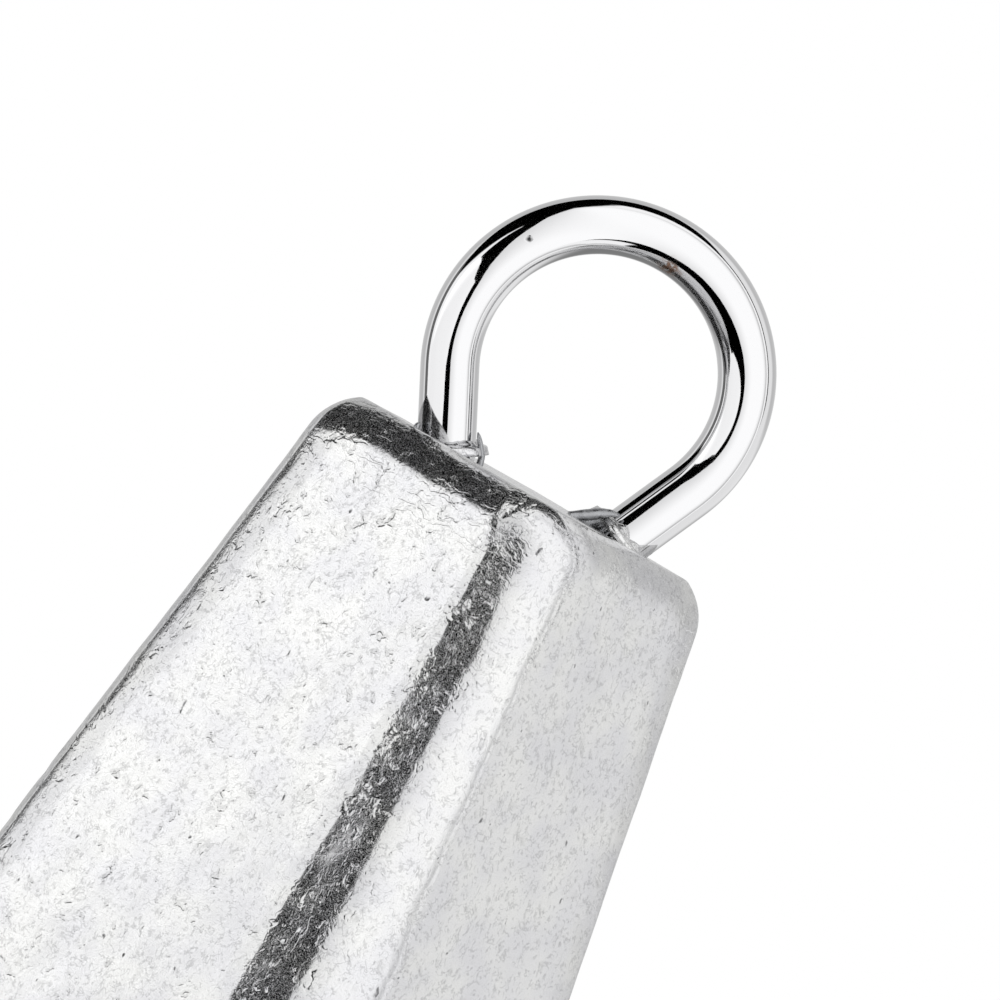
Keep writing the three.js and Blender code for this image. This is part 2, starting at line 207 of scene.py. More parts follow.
# %% Backdrop
lower_right = region((-0.3, upwards, 0.1), (across, 0.3, 0.1))
left_seam = region((frontwards, -0.33, 0.03), (-0.3, across, 0.1))
low_middle = region((-0.3, upwards, 0.2), (0.35, across, 0.2))
roof_share = region((upwards, 0.66, 0.14))
backdrop_edge = add(room, "Math", roof_share, -0.42, -0.07, operation="MULTIPLY_ADD")
backdrop_edge = add(room, "Math", lower_right, 0.07, backdrop_edge, operation="MULTIPLY_ADD")
backdrop = region((backdrop_edge, frontwards, wall_softness))
near_level, far_level = 1.17, 0.74
backdrop_level = add(room, "MapRange", frontwards, -0.38, -0.55, near_level, far_level)
for part, part_level in ((lower_right, near_level), (left_seam, 0.2), (low_middle, 0.3)):
    backdrop_level = add(room, "Mix", sockets={"Factor": part, 2: backdrop_level, 3: part_level})
print("backdrop in", len(room.nodes), "nodes")

# %% [markdown]
# Only metal sees the tent. The camera looks past it at plain white, and matt surfaces such as the
# floor get even light, at a level where a colour renders as it is written.

# %% The tent as the world's light
wall_level, even_level = 1.4, 1.0
tent = add(room, "Math", right_wall, wall_level, operation="MULTIPLY")
tent = add(room, "Math", left_wall, wall_level, tent, operation="MULTIPLY_ADD")
tent = add(room, "Math", backdrop, backdrop_level, tent, operation="MULTIPLY_ADD")
seen_in_metal = add(room, "LightPath", output="Is Glossy Ray")
level = add(room, "Mix", sockets={"Factor": seen_in_metal, 2: even_level, 3: tent})
background = add(room, "Background", sockets={"Color": (1, 1, 1, 1), "Strength": level})
add(room, "OutputWorld", sockets={"Surface": background})
print("far walls drawn with", len(room.nodes), "nodes")

# %% [markdown]
# The cards are so close that the wire eye sees them shift from its left side to its right, so they
# are real sheets, lit from behind, and metal is all that sees them. Their inner edges shape the black
# gap, and with it the dark lines in the wire and the dark strip on the lead. The left card glows
# nearly evenly and a little less near the bottom. The right one is dimmer at the gap and fades again
# far out, which rounds off the highlights on the wire.
#
# Outlines and fades are in millimetres from the middle of the wire eye.

# %% Cards
cards = {  # distance, outline, then (from, to, level, level) across it, outwards and upwards
    "right": (46, [
        (5, 178), (-10.3, 84), (-10.3, 58), (-11.6, 29), (-8.5, 13), (-3.5, 4.5), (-2, 0), (-2, -4),
        (-6, -21), (-2, -50), (19, -73), (61, -105), (90, -330), (330, -330), (330, 178),
    ], (-12, 22, 1.1, 1.55), (90, 290, 1, 0.5), (25, 60, 1, 1)),
    "left": (46, [
        (-28, 27), (-20, 17), (-13, 11), (-11.3, 0), (-14.5, -6), (-24, -12), (-50, -26), (-72, -32),
        (-82, -60), (-97, -330), (-420, -330), (-420, 140), (-230, 133), (-131, 118), (-82, 90),
        (-54, 61), (-37, 40),
    ], (-14, -34, 1.8, 1.74), (40, 120, 1, 0.97), (25, 60, 0.8, 1)),
    "low": (19, [
        (-140, -330), (90, -330), (90, -106), (-140, -106),
    ], (-90, 60, 0.95, 0.95), (110, 300, 1, 0.8), (25, 60, 1, 1)),
}
for side, (card_distance, outline, *fades) in cards.items():
    mesh = bpy.data.meshes.new("card_" + side)
    mesh.from_pydata(
        [eye_middle + MM * (x * picture_right + y * picture_up + card_distance * to_camera)
         for x, y in outline], [], [list(range(len(outline)))])
    card = bpy.data.objects.new("card_" + side, mesh)
    scene.collection.objects.link(card)
    glow = bpy.data.materials.new(f"Paper_backlit_{side}")
    glow.use_nodes = True
    tree = glow.node_tree
    tree.nodes.clear()
    place = add(tree, "VectorMath", add(tree, "TexCoord", output="Object"), operation="SCALE",
                sockets={"Scale": 1 / MM})
    sideways, raised = [
        add(tree, "VectorMath", place, axis[:], operation="DOT_PRODUCT", output="Value")
        for axis in (picture_right, picture_up)]
    outwards = add(tree, "VectorMath", place, (card_distance * to_camera)[:],
                   operation="DISTANCE", output="Value")
    light = 1.0
    for value, fade in zip((sideways, outwards, raised), fades):
        faded = add(tree, "MapRange", value, *fade, **eased)
        light = add(tree, "Math", light, faded, operation="MULTIPLY")
    lit = add(tree, "Emission", sockets={"Strength": light})
    add(tree, "OutputMaterial", sockets={"Surface": lit})
    mesh.materials.append(glow)
    for ray in ("camera", "diffuse", "transmission", "volume_scatter", "shadow"):
        setattr(card, "visible_" + ray, False)
    print("card", side, "with", len(outline), "corners")

# %% [markdown]
# The jig hangs from its line, so nothing stands on the floor. A plain pale disc lies a little below
# the hook and catches the soft shadow.

# %% Floor
floor_radius, floor_gap, floor_corners = 1.3, 6 * MM, 96
floor_height = cad_box[0][2] - floor_gap
rim = [Vector((floor_radius * math.cos(a), floor_radius * math.sin(a), floor_height))
       for a in (2 * math.pi * i / floor_corners for i in range(floor_corners))]
floor_mesh = bpy.data.meshes.new("floor")
floor_mesh.from_pydata(rim, [], [list(range(floor_corners))])
floor = bpy.data.objects.new("floor", floor_mesh)
scene.collection.objects.link(floor)
floor_paint = bpy.data.materials.new("Paper_matt_white")
floor_paint.use_nodes = True
paper = floor_paint.node_tree.nodes["Principled BSDF"].inputs
paper["Base Color"].default_value = linear("#FDFDFC")
paper["Roughness"].default_value = 0.9
floor_mesh.materials.append(floor_paint)
floor.visible_glossy = False  # the tent stands between the metal and the floor
print(f"floor at {floor_height / MM:.1f} mm")

# %% [markdown]
# ## Metals
#
# Every piece is metal, so every material is metallic 1 with the default IOR, and differs in colour,
# in roughness and in what its surface went through. Heights in the bump are in micrometres, and
# patterns are laid out in millimetres on the piece itself, so they hold their size from any side.
# One helper starts a metal, and one links what varies over its surface to the shader.

# %% Start and end of a metal
MICROMETRE = 1e-6


def start_metal(name, colour, roughness):
    """A metallic material, its tree, its shader and the place on the piece in millimetres."""
    material = bpy.data.materials.new(name)
    material.use_nodes = True
    tree = material.node_tree
    shader = tree.nodes["Principled BSDF"]
    shader.inputs["Metallic"].default_value = 1
    shader.inputs["Base Color"].default_value = linear(colour)
    shader.inputs["Roughness"].default_value = roughness
    place = add(tree, "VectorMath", add(tree, "TexCoord", output="Object"), operation="SCALE",
                sockets={"Scale": 1 / MM})
    return material, tree, shader, place


def end_metal(tree, shader, height, varied):
    """Links the height in micrometres, and each varied value to the shader's socket of that name."""
    relief = add(tree, "Bump", sockets={"Strength": 1, "Distance": MICROMETRE, "Height": height})
    tree.links.new(relief, shader.inputs["Normal"])
    for socket, value in varied.items():
        tree.links.new(value, shader.inputs[socket])
    print(len(tree.nodes), "nodes, varied over the surface: Normal,", ", ".join(varied))


# %% [markdown]
# **Cast lead, plated.** Lead is poured into a metal mould, and its skin copies the mould: fine
# wrinkles where the metal froze, soft waves, pits from trapped air and scratches from the mould's
# tool marks. A thin bright plating follows all of it. To the eye it is a bright grey mirror that is
# broken up into short light and dark strokes.
#
# It starts with slow waves 2 mm long, wrinkles of 0.4 mm and a grain of 0.07 mm. A warp bends every
# later pattern a little, so that none of its lines is quite straight.

# %% Plated lead: waves, wrinkles and grain
plated_lead, tree, shader, place = start_metal("Lead_cast_nickel_plated", "#CBCBCB", 0.12)
warp_reach = 0.8
warp = add(tree, "TexNoise", sockets={"Vector": place, "Scale": 1.2, "Detail": 3}, output="Color")
warped = add(tree, "VectorMath", warp, [warp_reach] * 3, place, operation="MULTIPLY_ADD")
height = 0.0
for laid_on, per_mm, detail, rise in ((place, 0.45, 2, 30), (warped, 2.4, 3, 2.2), (place, 14, 2, 0.25)):
    wave = add(tree, "TexNoise", sockets={"Vector": laid_on, "Scale": per_mm, "Detail": detail})
    height = add(tree, "Math", wave, rise, height, operation="MULTIPLY_ADD")
print("waves, wrinkles and grain:", len(tree.nodes), "nodes")

# %% [markdown]
# The strokes come from creases. A line where a slow noise passes through its middle value is long
# and curly, and a second noise lets only pieces of it through. There are four sets of them, from
# wide and deep ones to hairlines that show by the dark oxide in them.

# %% Plated lead: creases
crease_sets = [  # per mm, half width in the noise's value, depth, least share let through, stain
    (1.5, 0.08, 12, 0.59, 0.4), (2.8, 0.09, 9.5, 0.6, 0.5),
    (6, 0.12, 2.5, 0.57, 1), (3.4, 0.05, 0.7, 0.46, 1),
]
grime = 0.0
for per_mm, half_width, depth, least_share, stain in crease_sets:
    curly = add(tree, "TexNoise", sockets={"Vector": warped, "Scale": per_mm, "Detail": 2})
    off_middle = add(tree, "Math", curly, 0.5, operation="SUBTRACT")
    off_middle = add(tree, "Math", off_middle, operation="ABSOLUTE")
    crease = add(tree, "MapRange", off_middle, 0, half_width, 1, 0, **eased)
    pieces = add(tree, "TexNoise", sockets={"Vector": place, "Scale": per_mm * 0.8, "Detail": 1})
    pieces = add(tree, "MapRange", pieces, least_share, least_share + 0.12, **eased)
    crease = add(tree, "Math", crease, pieces, operation="MULTIPLY")
    height = add(tree, "Math", crease, -depth, height, operation="MULTIPLY_ADD")
    in_crease = add(tree, "Math", crease, stain, operation="MULTIPLY")
    grime = add(tree, "Math", in_crease, grime, operation="MAXIMUM")
print(len(crease_sets), "sets of creases")

# %% [markdown]
# Scratches are noise stretched far in one direction. One set runs along the body and two lie askew.
# The line end was cleaned up with a file, whose marks lie along its edge, on the last 3 mm only.

# %% Plated lead: scratches and file marks
scratch_sets = [  # turn, stretch, depth
    ((0, 0, 0), (8, 8, 0.4), 1.4),
    ((0.5, 0.3, 0.2), (6, 0.4, 6), 1.2),
    ((1.2, 0.4, 0), (7, 7, 0.4), 1.1),
]
for turn, stretch, depth in scratch_sets:
    laid = add(tree, "Mapping", warped, sockets={"Rotation": turn, "Scale": stretch})
    scratch = add(tree, "TexNoise", sockets={"Vector": laid, "Scale": 1, "Detail": 1})
    scratch = add(tree, "MapRange", scratch, 0.62, 0.74, **eased)
    height = add(tree, "Math", scratch, -depth, height, operation="MULTIPLY_ADD")
file_mark_depth = 5
filed = add(tree, "Mapping", warped, sockets={"Scale": (0.6, 0.6, 8)})
file_mark = add(tree, "TexNoise", sockets={"Vector": filed, "Scale": 1, "Detail": 1})
file_mark = add(tree, "MapRange", file_mark, 0.55, 0.66, **eased)
near_end = add(tree, "MapRange", add(tree, "SeparateXYZ", place, output="Z"), -7.2, -6, **eased)
file_mark = add(tree, "Math", file_mark, near_end, operation="MULTIPLY")
height = add(tree, "Math", file_mark, -file_mark_depth, height, operation="MULTIPLY_ADD")
print(len(scratch_sets), "sets of scratches, and file marks")

# %% [markdown]
# Pits are the cells of a Voronoi pattern, with a hole in the middle of each. Its size follows the
# random colour of its cell, so some are too small to see. Two burst bubbles on the strip have left a
# small raised ring each.

# %% Plated lead: pits and burst bubbles
largest_pit, pit_depth, ring_height, ring_half_width = 0.13, 30, 14, 0.07
upright = add(tree, "Mapping", warped, sockets={"Scale": (1.7, 1.7, 0.8)})
from_pit = add(tree, "TexVoronoi", sockets={"Vector": upright, "Scale": 1}, output="Distance")
pit_size = add(tree, "Math", from_pit.node.outputs["Color"], largest_pit, operation="MULTIPLY")
pit = add(tree, "MapRange", from_pit, 0, pit_size, 1, 0)
height = add(tree, "Math", pit, -pit_depth, height, operation="MULTIPLY_ADD")
for centre, ring_size in (((-1.23, -7.34, -14.45), 0.14), ((-1.3, -7.97, -18.83), 0.17)):
    moved = [c + warp_reach / 2 for c in centre]  # the warp shifts a place by half its reach
    away = add(tree, "VectorMath", warped, moved, operation="DISTANCE", output="Value")
    off_ring = add(tree, "Math", away, ring_size, operation="SUBTRACT")
    off_ring = add(tree, "Math", off_ring, operation="ABSOLUTE")
    bubble_ring = add(tree, "MapRange", off_ring, 0, ring_half_width, 1, 0, **eased)
    height = add(tree, "Math", bubble_ring, ring_height, height, operation="MULTIPLY_ADD")
print("pits up to", largest_pit, "of a cell, and two bubbles")

# %% [markdown]
# The plating is a clear mirror at roughness 0.09. Frosted grains spread the light in patches, and so
# does a dull bloom of grains too fine to see singly. Its colour is nickel's grey, a little warmer in
# some places, and creases and pits hold dark oxide.

# %% Plated lead: haze and tarnish
clear_roughness, frost_roughness, bloom_roughness = 0.09, 0.8, 0.62
crease_oxide, pit_oxide = 0.3, 0.8
frosted = add(tree, "TexNoise", sockets={"Vector": warped, "Scale": 11, "Detail": 2})
frosted = add(tree, "MapRange", frosted, 0.5, 0.66, **eased)
patches = add(tree, "TexNoise", sockets={"Vector": place, "Scale": 1.6, "Detail": 3})
patches = add(tree, "MapRange", patches, 0.35, 0.65, 0.03, 0.22, **eased)
frosted = add(tree, "Math", frosted, patches, operation="MULTIPLY")
haze = add(tree, "Math", frosted, frost_roughness, clear_roughness, operation="MULTIPLY_ADD")
bloom = add(tree, "TexNoise", sockets={"Vector": place, "Scale": 60, "Detail": 0})
bloom = add(tree, "MapRange", bloom, 0.615, 0.665, **eased)
bloom = add(tree, "Math", bloom, bloom_roughness, operation="MULTIPLY")
haze = add(tree, "Math", haze, bloom, operation="MAXIMUM")
warmer = add(tree, "TexNoise", sockets={"Vector": place, "Scale": 0.6, "Detail": 2})
warmer = add(tree, "MapRange", warmer, 0.3, 0.7, **eased)
tarnish = add(tree, "Mix", sockets={"Factor": warmer, 6: linear("#C8C8CA"), 7: linear("#D0D0CF")},
              data_type="RGBA", output=2)
in_pit = add(tree, "MapRange", pit, 0.1, 0.5, **eased)
oxide = add(tree, "Math", grime, crease_oxide, operation="MULTIPLY")
oxide = add(tree, "Math", in_pit, pit_oxide, oxide, operation="MULTIPLY_ADD")
stained = add(tree, "Mix", sockets={"Factor": oxide, 6: tarnish, 7: linear("#5E5E60")},
              data_type="RGBA", output=2)
end_metal(tree, shader, height, {"Roughness": haze, "Base Color": stained})

# %% [markdown]
# **Lead flash.** Thin flakes of lead that crept out between wire and mould. They get little plating
# and turn dull, so to the eye they are darker and softer than the casting.

# %% Lead flash
lead_flash, tree, shader, place = start_metal("Lead_flash_oxidised", "#8E8F92", 0.34)
crust = add(tree, "TexNoise", sockets={"Vector": place, "Scale": 6, "Detail": 3})
crust_height = 22
height = add(tree, "Math", crust, crust_height, operation="MULTIPLY")
dullness = add(tree, "MapRange", crust, 0.35, 0.65, 0.2, 0.5, **eased)
tone = add(tree, "Mix", sockets={"Factor": crust, 6: linear("#707174"), 7: linear("#B4B5B7")},
           data_type="RGBA", output=2)
end_metal(tree, shader, height, {"Roughness": dullness, "Base Color": tone})

# %% [markdown]
# **Polished stainless wire.** The eyes are bent from drawn stainless wire and tumbled until they
# shine. To the eye it is a clear mirror: white walls stay white in it, and the black gap stays sharp
# and black. This one has a nick from the bending tool and a small tea-coloured stain inside the loop.

# %% Polished wire
polished_wire, tree, shader, place = start_metal("Stainless_steel_drawn_polished", "#CFCFD0", 0.04)
drawn = add(tree, "TexNoise", sockets={"Vector": place, "Scale": 1.1, "Detail": 2})
fine = add(tree, "TexNoise", sockets={"Vector": place, "Scale": 9, "Detail": 2})
ragged_edge = add(tree, "TexNoise", sockets={"Vector": place, "Scale": 6, "Detail": 3})


def mark_at(centre, radius):
    """1 at a place on the piece, falling to 0 at a ragged radius, both in mm."""
    away = add(tree, "VectorMath", place, centre, operation="DISTANCE", output="Value")
    ragged = add(tree, "Math", ragged_edge, radius, away, operation="MULTIPLY_ADD")
    return add(tree, "MapRange", ragged, radius * 0.7, radius * 1.5, 1, 0, **eased)


nick = mark_at((-3.75, -0.85, 2.55), 0.13)
stain = mark_at((0.55, -0.6, 3.8), 0.5)
drawn_height, fine_height, nick_depth = 3, 0.2, 25
height = add(tree, "Math", drawn, drawn_height, operation="MULTIPLY")
height = add(tree, "Math", fine, fine_height, height, operation="MULTIPLY_ADD")
height = add(tree, "Math", nick, -nick_depth, height, operation="MULTIPLY_ADD")
gloss = add(tree, "MapRange", fine, 0.3, 0.7, 0.03, 0.06, **eased)
gloss = add(tree, "Math", stain, 0.2, gloss, operation="MULTIPLY_ADD")
dried = add(tree, "TexNoise", sockets={"Vector": place, "Scale": 7, "Detail": 3})
dried = add(tree, "MapRange", dried, 0.36, 0.5, **eased)
stain_share = add(tree, "Math", stain, dried, operation="MULTIPLY")
tone = add(tree, "Mix", sockets={"Factor": stain_share, 6: linear("#CFCFD0"), 7: linear("#8F7363")},
           data_type="RGBA", output=2)
tone = add(tree, "Mix", sockets={"Factor": nick, 6: tone, 7: linear("#303031")},
           data_type="RGBA", output=2)
end_metal(tree, shader, height, {"Roughness": gloss, "Base Color": tone})

# %% [markdown]
# **Spring steel, rolled and plated.** The split ring is coiled from flat rolled wire. Rolling leaves
# a faint grain on the wire, and the plating keeps it. It is a little duller than the eyes.

# %% Spring steel
spring_steel, tree, shader, place = start_metal("Spring_steel_rolled_nickel_plated", "#C4C6C8", 0.14)
rolled = add(tree, "TexNoise", sockets={"Vector": place, "Scale": 5, "Detail": 4, "Roughness": 0.65})
grain_height = 5
height = add(tree, "Math", rolled, grain_height, operation="MULTIPLY")
gloss = add(tree, "MapRange", rolled, 0.3, 0.7, 0.1, 0.2)
end_metal(tree, shader, height, {"Roughness": gloss})

# %% [markdown]
# **Tinned hook steel.** Large saltwater hooks are dipped in molten tin. The tin flows as it cools and
# leaves a soft silver skin with slow waves, duller in some patches than in others.

# %% Tinned hook
tinned_hook, tree, shader, place = start_metal("Carbon_steel_hot_dipped_tin", "#C6C9CC", 0.24)
flow = add(tree, "TexNoise", sockets={"Vector": place, "Scale": 0.7, "Detail": 3})
speck = add(tree, "TexNoise", sockets={"Vector": place, "Scale": 7, "Detail": 4, "Roughness": 0.6})
flow_height, speck_height = 40, 4
height = add(tree, "Math", flow, flow_height, operation="MULTIPLY")
height = add(tree, "Math", speck, speck_height, height, operation="MULTIPLY_ADD")
gloss = add(tree, "MapRange", flow, 0.35, 0.65, 0.16, 0.34)
tone = add(tree, "Mix", sockets={"Factor": speck, 6: linear("#BABDC1"), 7: linear("#CDD0D3")},
           data_type="RGBA", output=2)
end_metal(tree, shader, height, {"Roughness": gloss, "Base Color": tone})

# %% [markdown]
# **Braze.** Brass filler runs into the grooves between the three shanks, and the tin goes over it.
# It stays a little yellow and rough.

# %% Braze filler
braze_filler, tree, shader, place = start_metal("Brass_filler_brazed_tinned", "#BDB59E", 0.4)
blob = add(tree, "TexNoise", sockets={"Vector": place, "Scale": 3, "Detail": 5, "Roughness": 0.65})
blob_height = 40
height = add(tree, "Math", blob, blob_height, operation="MULTIPLY")
tinned_over = add(tree, "MapRange", blob, 0.35, 0.65)
tone = add(tree, "Mix", sockets={"Factor": tinned_over, 6: linear("#A79C80"), 7: linear("#CBC6B6")},
           data_type="RGBA", output=2)
end_metal(tree, shader, height, {"Base Color": tone})

# %% [markdown]
# ## Skins
#
# Nearly every piece here is a row of cross-sections with a skin over them: a loft. One helper makes
# the skin, closes both ends with a fan of triangles, hangs the piece on the body it rides on, gives
# it its finish and hides the CAD solids that it stands for.

# %% Skin over sections
def make_piece(name, rings, material, body, stands_for=()):
    """A closed skin over rings of points in mm, as a smooth piece that rides on a body."""
    around = len(rings[0])
    points = [point for ring in rings for point in ring]
    faces = [
        [r * around + i, r * around + (i + 1) % around,
         (r + 1) * around + (i + 1) % around, (r + 1) * around + i]
        for r in range(len(rings) - 1) for i in range(around)
    ]
    for ring, first in ((rings[0], 0), (rings[-1], (len(rings) - 1) * around)):
        middle = len(points)
        points.append(sum(ring, Vector()) / around)
        for i in range(around):
            edge = [first + i, first + (i + 1) % around]
            faces.append([middle] + (edge[::-1] if first == 0 else edge))
    mesh = bpy.data.meshes.new(name)
    mesh.from_pydata([point * MM for point in points], [], faces)
    mesh.shade_smooth()
    mesh.materials.append(material)
    piece = bpy.data.objects.new(name, mesh)
    scene.collection.objects.link(piece)
    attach(piece, body)
    if stands_for:
        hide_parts(*stands_for)
    print(f"{name}: {len(points)} points")
    return piece


# %% [markdown]
# ## The lead body
#
# The body is a long four-sided casting, thickest at a ridge near its middle. Its section is set by
# the planes round it and by how each corner between two planes is rounded. Two corners carry a
# narrow flat strip beside the rounding, which the mould left there, and that strip mirrors the black
# gap in front as one long dark band. It starts narrow at the upper end and widens downwards.
#
# A box with bevels would be quick, but its bevels couldn't differ from corner to corner. So each
# section is worked out from its planes. What changes along the body stands in tables by height.

# %% Body sizes
body_end_side, body_widest_side = 10.2, 25.1
line_end_z, ridge_z, hook_end_z = -4.1, -69.1, -128.1
ridge_blend = 5.0
end_edge_radius, end_edge_turn, end_rim_radius = 1.7, math.radians(55), 0.35
shoulder_radius = 8  # the side corners: a soft shoulder on each side of a tight edge
side_corner_radii = [(-36, 0.9), (-60, 1.4)]  # (z, radius of the tight edge)
shoulder_turns = [(-36, 12), (-60, 0)]  # (z, degrees that each shoulder turns)
strip_edge_radius = 0.9
strip_round_radii = [  # (z, radius of the rounding beside the strip)
    (-9, 2.25), (-11.3, 2.6), (-14.8, 2.9), (-18.3, 3.6), (-21.4, 3.95), (-36, 4.2), (-60, 2.25),
]
strip_turns = [(-4.1, 13), (-4.8, 16), (-5.8, 26), (-6.2, 28)]  # (z, degrees from the face on its left)
strip_widths = [(-4, 0.5), (-6.5, 0.85), (-10, 1.0), (-20, 1.05), (-36, 1.3)]  # (z, width)
least_radius = 0.04
print("body", line_end_z - hook_end_z, "mm long,", body_widest_side, "mm square at the ridge")

# %% [markdown]
# A plane is an azimuth and a distance from the axis. Where two planes stand square to each other and
# a third cuts off their corner, the third is as wide as its distance leaves it. So the strip's plane
# is moved until the strip has its width.

# %% Planes
def facing(degrees):
    """The direction at that azimuth, where 0 is the front corner of the body."""
    a = math.radians(degrees)
    return Vector((math.sin(a), -math.cos(a)))


def value_at(z, table):
    """The value at z from a table of (z, value) that runs downwards."""
    if z > table[0][0]:
        return table[0][1]
    for (z1, value1), (z2, value2) in zip(table, table[1:]):
        if z >= z2:
            return value1 + (value2 - value1) * (z1 - z) / (z1 - z2)
    return table[-1][1]


def strip_distance(half_side, z):
    """How far from the axis the strip's plane lies, so that the strip has its width."""
    strip_turn = value_at(z, strip_turns)
    one, two = math.radians(strip_turn), math.radians(90 - strip_turn)
    r1, r2 = strip_edge_radius, value_at(z, strip_round_radii)
    reach = ((half_side - r2 + math.cos(two) * r2) / math.sin(two)
             + (half_side - r1 + math.cos(one) * r1) / math.sin(one))
    return (reach - value_at(z, strip_widths)) / (1 / math.tan(one) + 1 / math.tan(two))


print(f"the strip lies {strip_distance(body_end_side / 2, line_end_z):.2f} mm from the axis at the end")

# %% [markdown]
# A corner is an arc from one plane's direction to the next. Where a corner has shoulders, a wider
# arc leads into the tight one on either side.

# %% Corners
def round_corner(plane, next_plane, radius, shoulder, inset, steps):
    """Points round the corner between two planes, moved in by the inset."""
    (azimuth, distance), (next_azimuth, next_distance) = plane, next_plane
    turn = math.radians((next_azimuth - azimuth) % 360)
    tight, wide = max(radius - inset, least_radius), shoulder_radius - inset
    sunk = tight + (wide - tight) * (1 - math.cos(shoulder))
    slide = ((next_distance - sunk) - math.cos(turn) * (distance - sunk)) / math.sin(turn)
    middle = (distance - sunk) * facing(azimuth) + slide * facing(azimuth + 90)
    points = []
    for k in range(steps + 1):
        turned = turn * k / steps
        normal = facing(azimuth + math.degrees(turned))
        if shoulder <= turned <= turn - shoulder:
            points.append(middle + tight * normal)
        else:
            shoulder_end = shoulder if turned < shoulder else turn - shoulder
            hub = middle + (tight - wide) * facing(azimuth + math.degrees(shoulder_end))
            points.append(hub + wide * normal)
    return points


square_corner = round_corner((45, body_end_side / 2), (135, body_end_side / 2), 1, 0, 0, 8)
print("a corner rounded by 1 mm starts at", [round(v, 2) for v in square_corner[0]])

# %% [markdown]
# A section goes round six planes: four faces and two strips. Half the side grows at a steady rate
# from each end, and near the ridge one taper is blended into the other.

# %% Body section
corner_steps = (14, 27, 6)  # for the rounding beside the strip, the side corner, the strip's edge
side_steps = (38, 38, 8)


def body_section(half_side, inset, z):
    """Points round the body at z: straight sides and rounded corners, moved in by the inset."""
    strip = strip_distance(half_side, z) - inset
    side = half_side - inset
    strip_turn = value_at(z, strip_turns)
    planes = [(-45 + strip_turn, strip), (45, side), (135, side),
              (135 + strip_turn, strip), (225, side), (315, side)]
    radii = [value_at(z, strip_round_radii), value_at(z, side_corner_radii), strip_edge_radius]
    shoulders = [0, math.radians(value_at(z, shoulder_turns)), 0]
    corners = [
        round_corner(plane, planes[(i + 1) % len(planes)], radii[i % 3], shoulders[i % 3], inset,
                     corner_steps[i % 3])
        for i, plane in enumerate(planes)]
    points = []
    for i, corner in enumerate(corners):
        start, end = corner[-1], corners[(i + 1) % len(corners)][0]
        steps = side_steps[i % 3]
        points += corner + [start.lerp(end, k / steps) for k in range(1, steps)]
    return points


def half_side_at(z):
    line_taper = (body_widest_side - body_end_side) / 2 / (line_end_z - ridge_z)
    hook_taper = (body_widest_side - body_end_side) / 2 / (ridge_z - hook_end_z)
    widest = body_widest_side / 2
    if z > ridge_z + ridge_blend:
        return body_end_side / 2 + line_taper * (line_end_z - z)
    if z < ridge_z - ridge_blend:
        return body_end_side / 2 + hook_taper * (z - hook_end_z)
    t = (z - ridge_z + ridge_blend) / (2 * ridge_blend)
    below, above = widest - hook_taper * ridge_blend, widest - line_taper * ridge_blend
    return (1 - t) ** 2 * below + 2 * t * (1 - t) * widest + t ** 2 * above


print(len(body_section(half_side_at(ridge_z), 0, ridge_z)), "points round the body")

# %% [markdown]
# The edge round each end face turns softly at first, and ends in a small tight rim. It is drawn as
# rings at growing tilts, each a little further in. The end face is filled with smaller and smaller
# rings of the same section.

# %% End edges
edge_tilts = [math.radians(d) for d in (90, 80, 70, 62, 55, 48, 41, 34, 27, 20, 14, 9, 4, 0)]
face_shares = (0.15, 0.4, 0.6, 0.75, 0.87, 0.95)  # how far out the rings on the end face lie


def end_edge(tilt):
    """(depth, inset) on the edge round an end face, where it has tilted so far from the side."""
    rim_depth = end_rim_radius * (1 - math.sin(end_edge_turn))
    whole_depth = end_edge_radius * math.sin(end_edge_turn) + rim_depth
    if tilt <= end_edge_turn:
        return whole_depth - end_edge_radius * math.sin(tilt), end_edge_radius * (1 - math.cos(tilt))
    soft_inset = end_edge_radius * (1 - math.cos(end_edge_turn))
    return (end_rim_radius * (1 - math.sin(tilt)),
            soft_inset + end_rim_radius * (math.cos(end_edge_turn) - math.cos(tilt)))


def end_rings(end_z, inwards):
    """Rings from the middle of an end face out and round its edge."""
    whole_inset = end_edge(math.pi / 2)[1]
    flat = body_section(body_end_side / 2, whole_inset, end_z)
    rings = [[Vector((p.x * share, p.y * share, end_z)) for p in flat] for share in face_shares]
    for tilt in edge_tilts:
        depth, inset = end_edge(tilt)
        z = end_z + inwards * depth
        rings.append([Vector((p.x, p.y, z)) for p in body_section(half_side_at(z), inset, z)])
    return rings


edge_depth = end_edge(0)[0]
print(f"the end edges are {edge_depth:.2f} mm deep")

# %% [markdown]
# The rings run from the lower end to the upper. They lie close together near the upper end, where
# the picture looks closely.

# %% Body casting
fine_length, fine_step, coarse_step = 34, 0.3, 0.8
levels = []
z = hook_end_z + edge_depth + coarse_step
while z < line_end_z - edge_depth - fine_step / 2:
    levels.append(z)
    z += fine_step if z > line_end_z - fine_length else coarse_step
long_sides = [[Vector((p.x, p.y, z)) for p in body_section(half_side_at(z), 0, z)] for z in levels]
rings = end_rings(hook_end_z, 1) + long_sides + end_rings(line_end_z, -1)[::-1]
lead_casting = make_piece("lead_casting", rings, plated_lead, "jig", ["lead_body"])

# %% [markdown]
# The casting isn't true: its faces swell and sink by a few hundredths of a millimetre, it has small
# dents along its corners, and its end face is cut off a little aslant. Those are moved in the mesh
# itself, always inwards, so the body never grows past its CAD size. Finer wrinkles stay in the
# material.

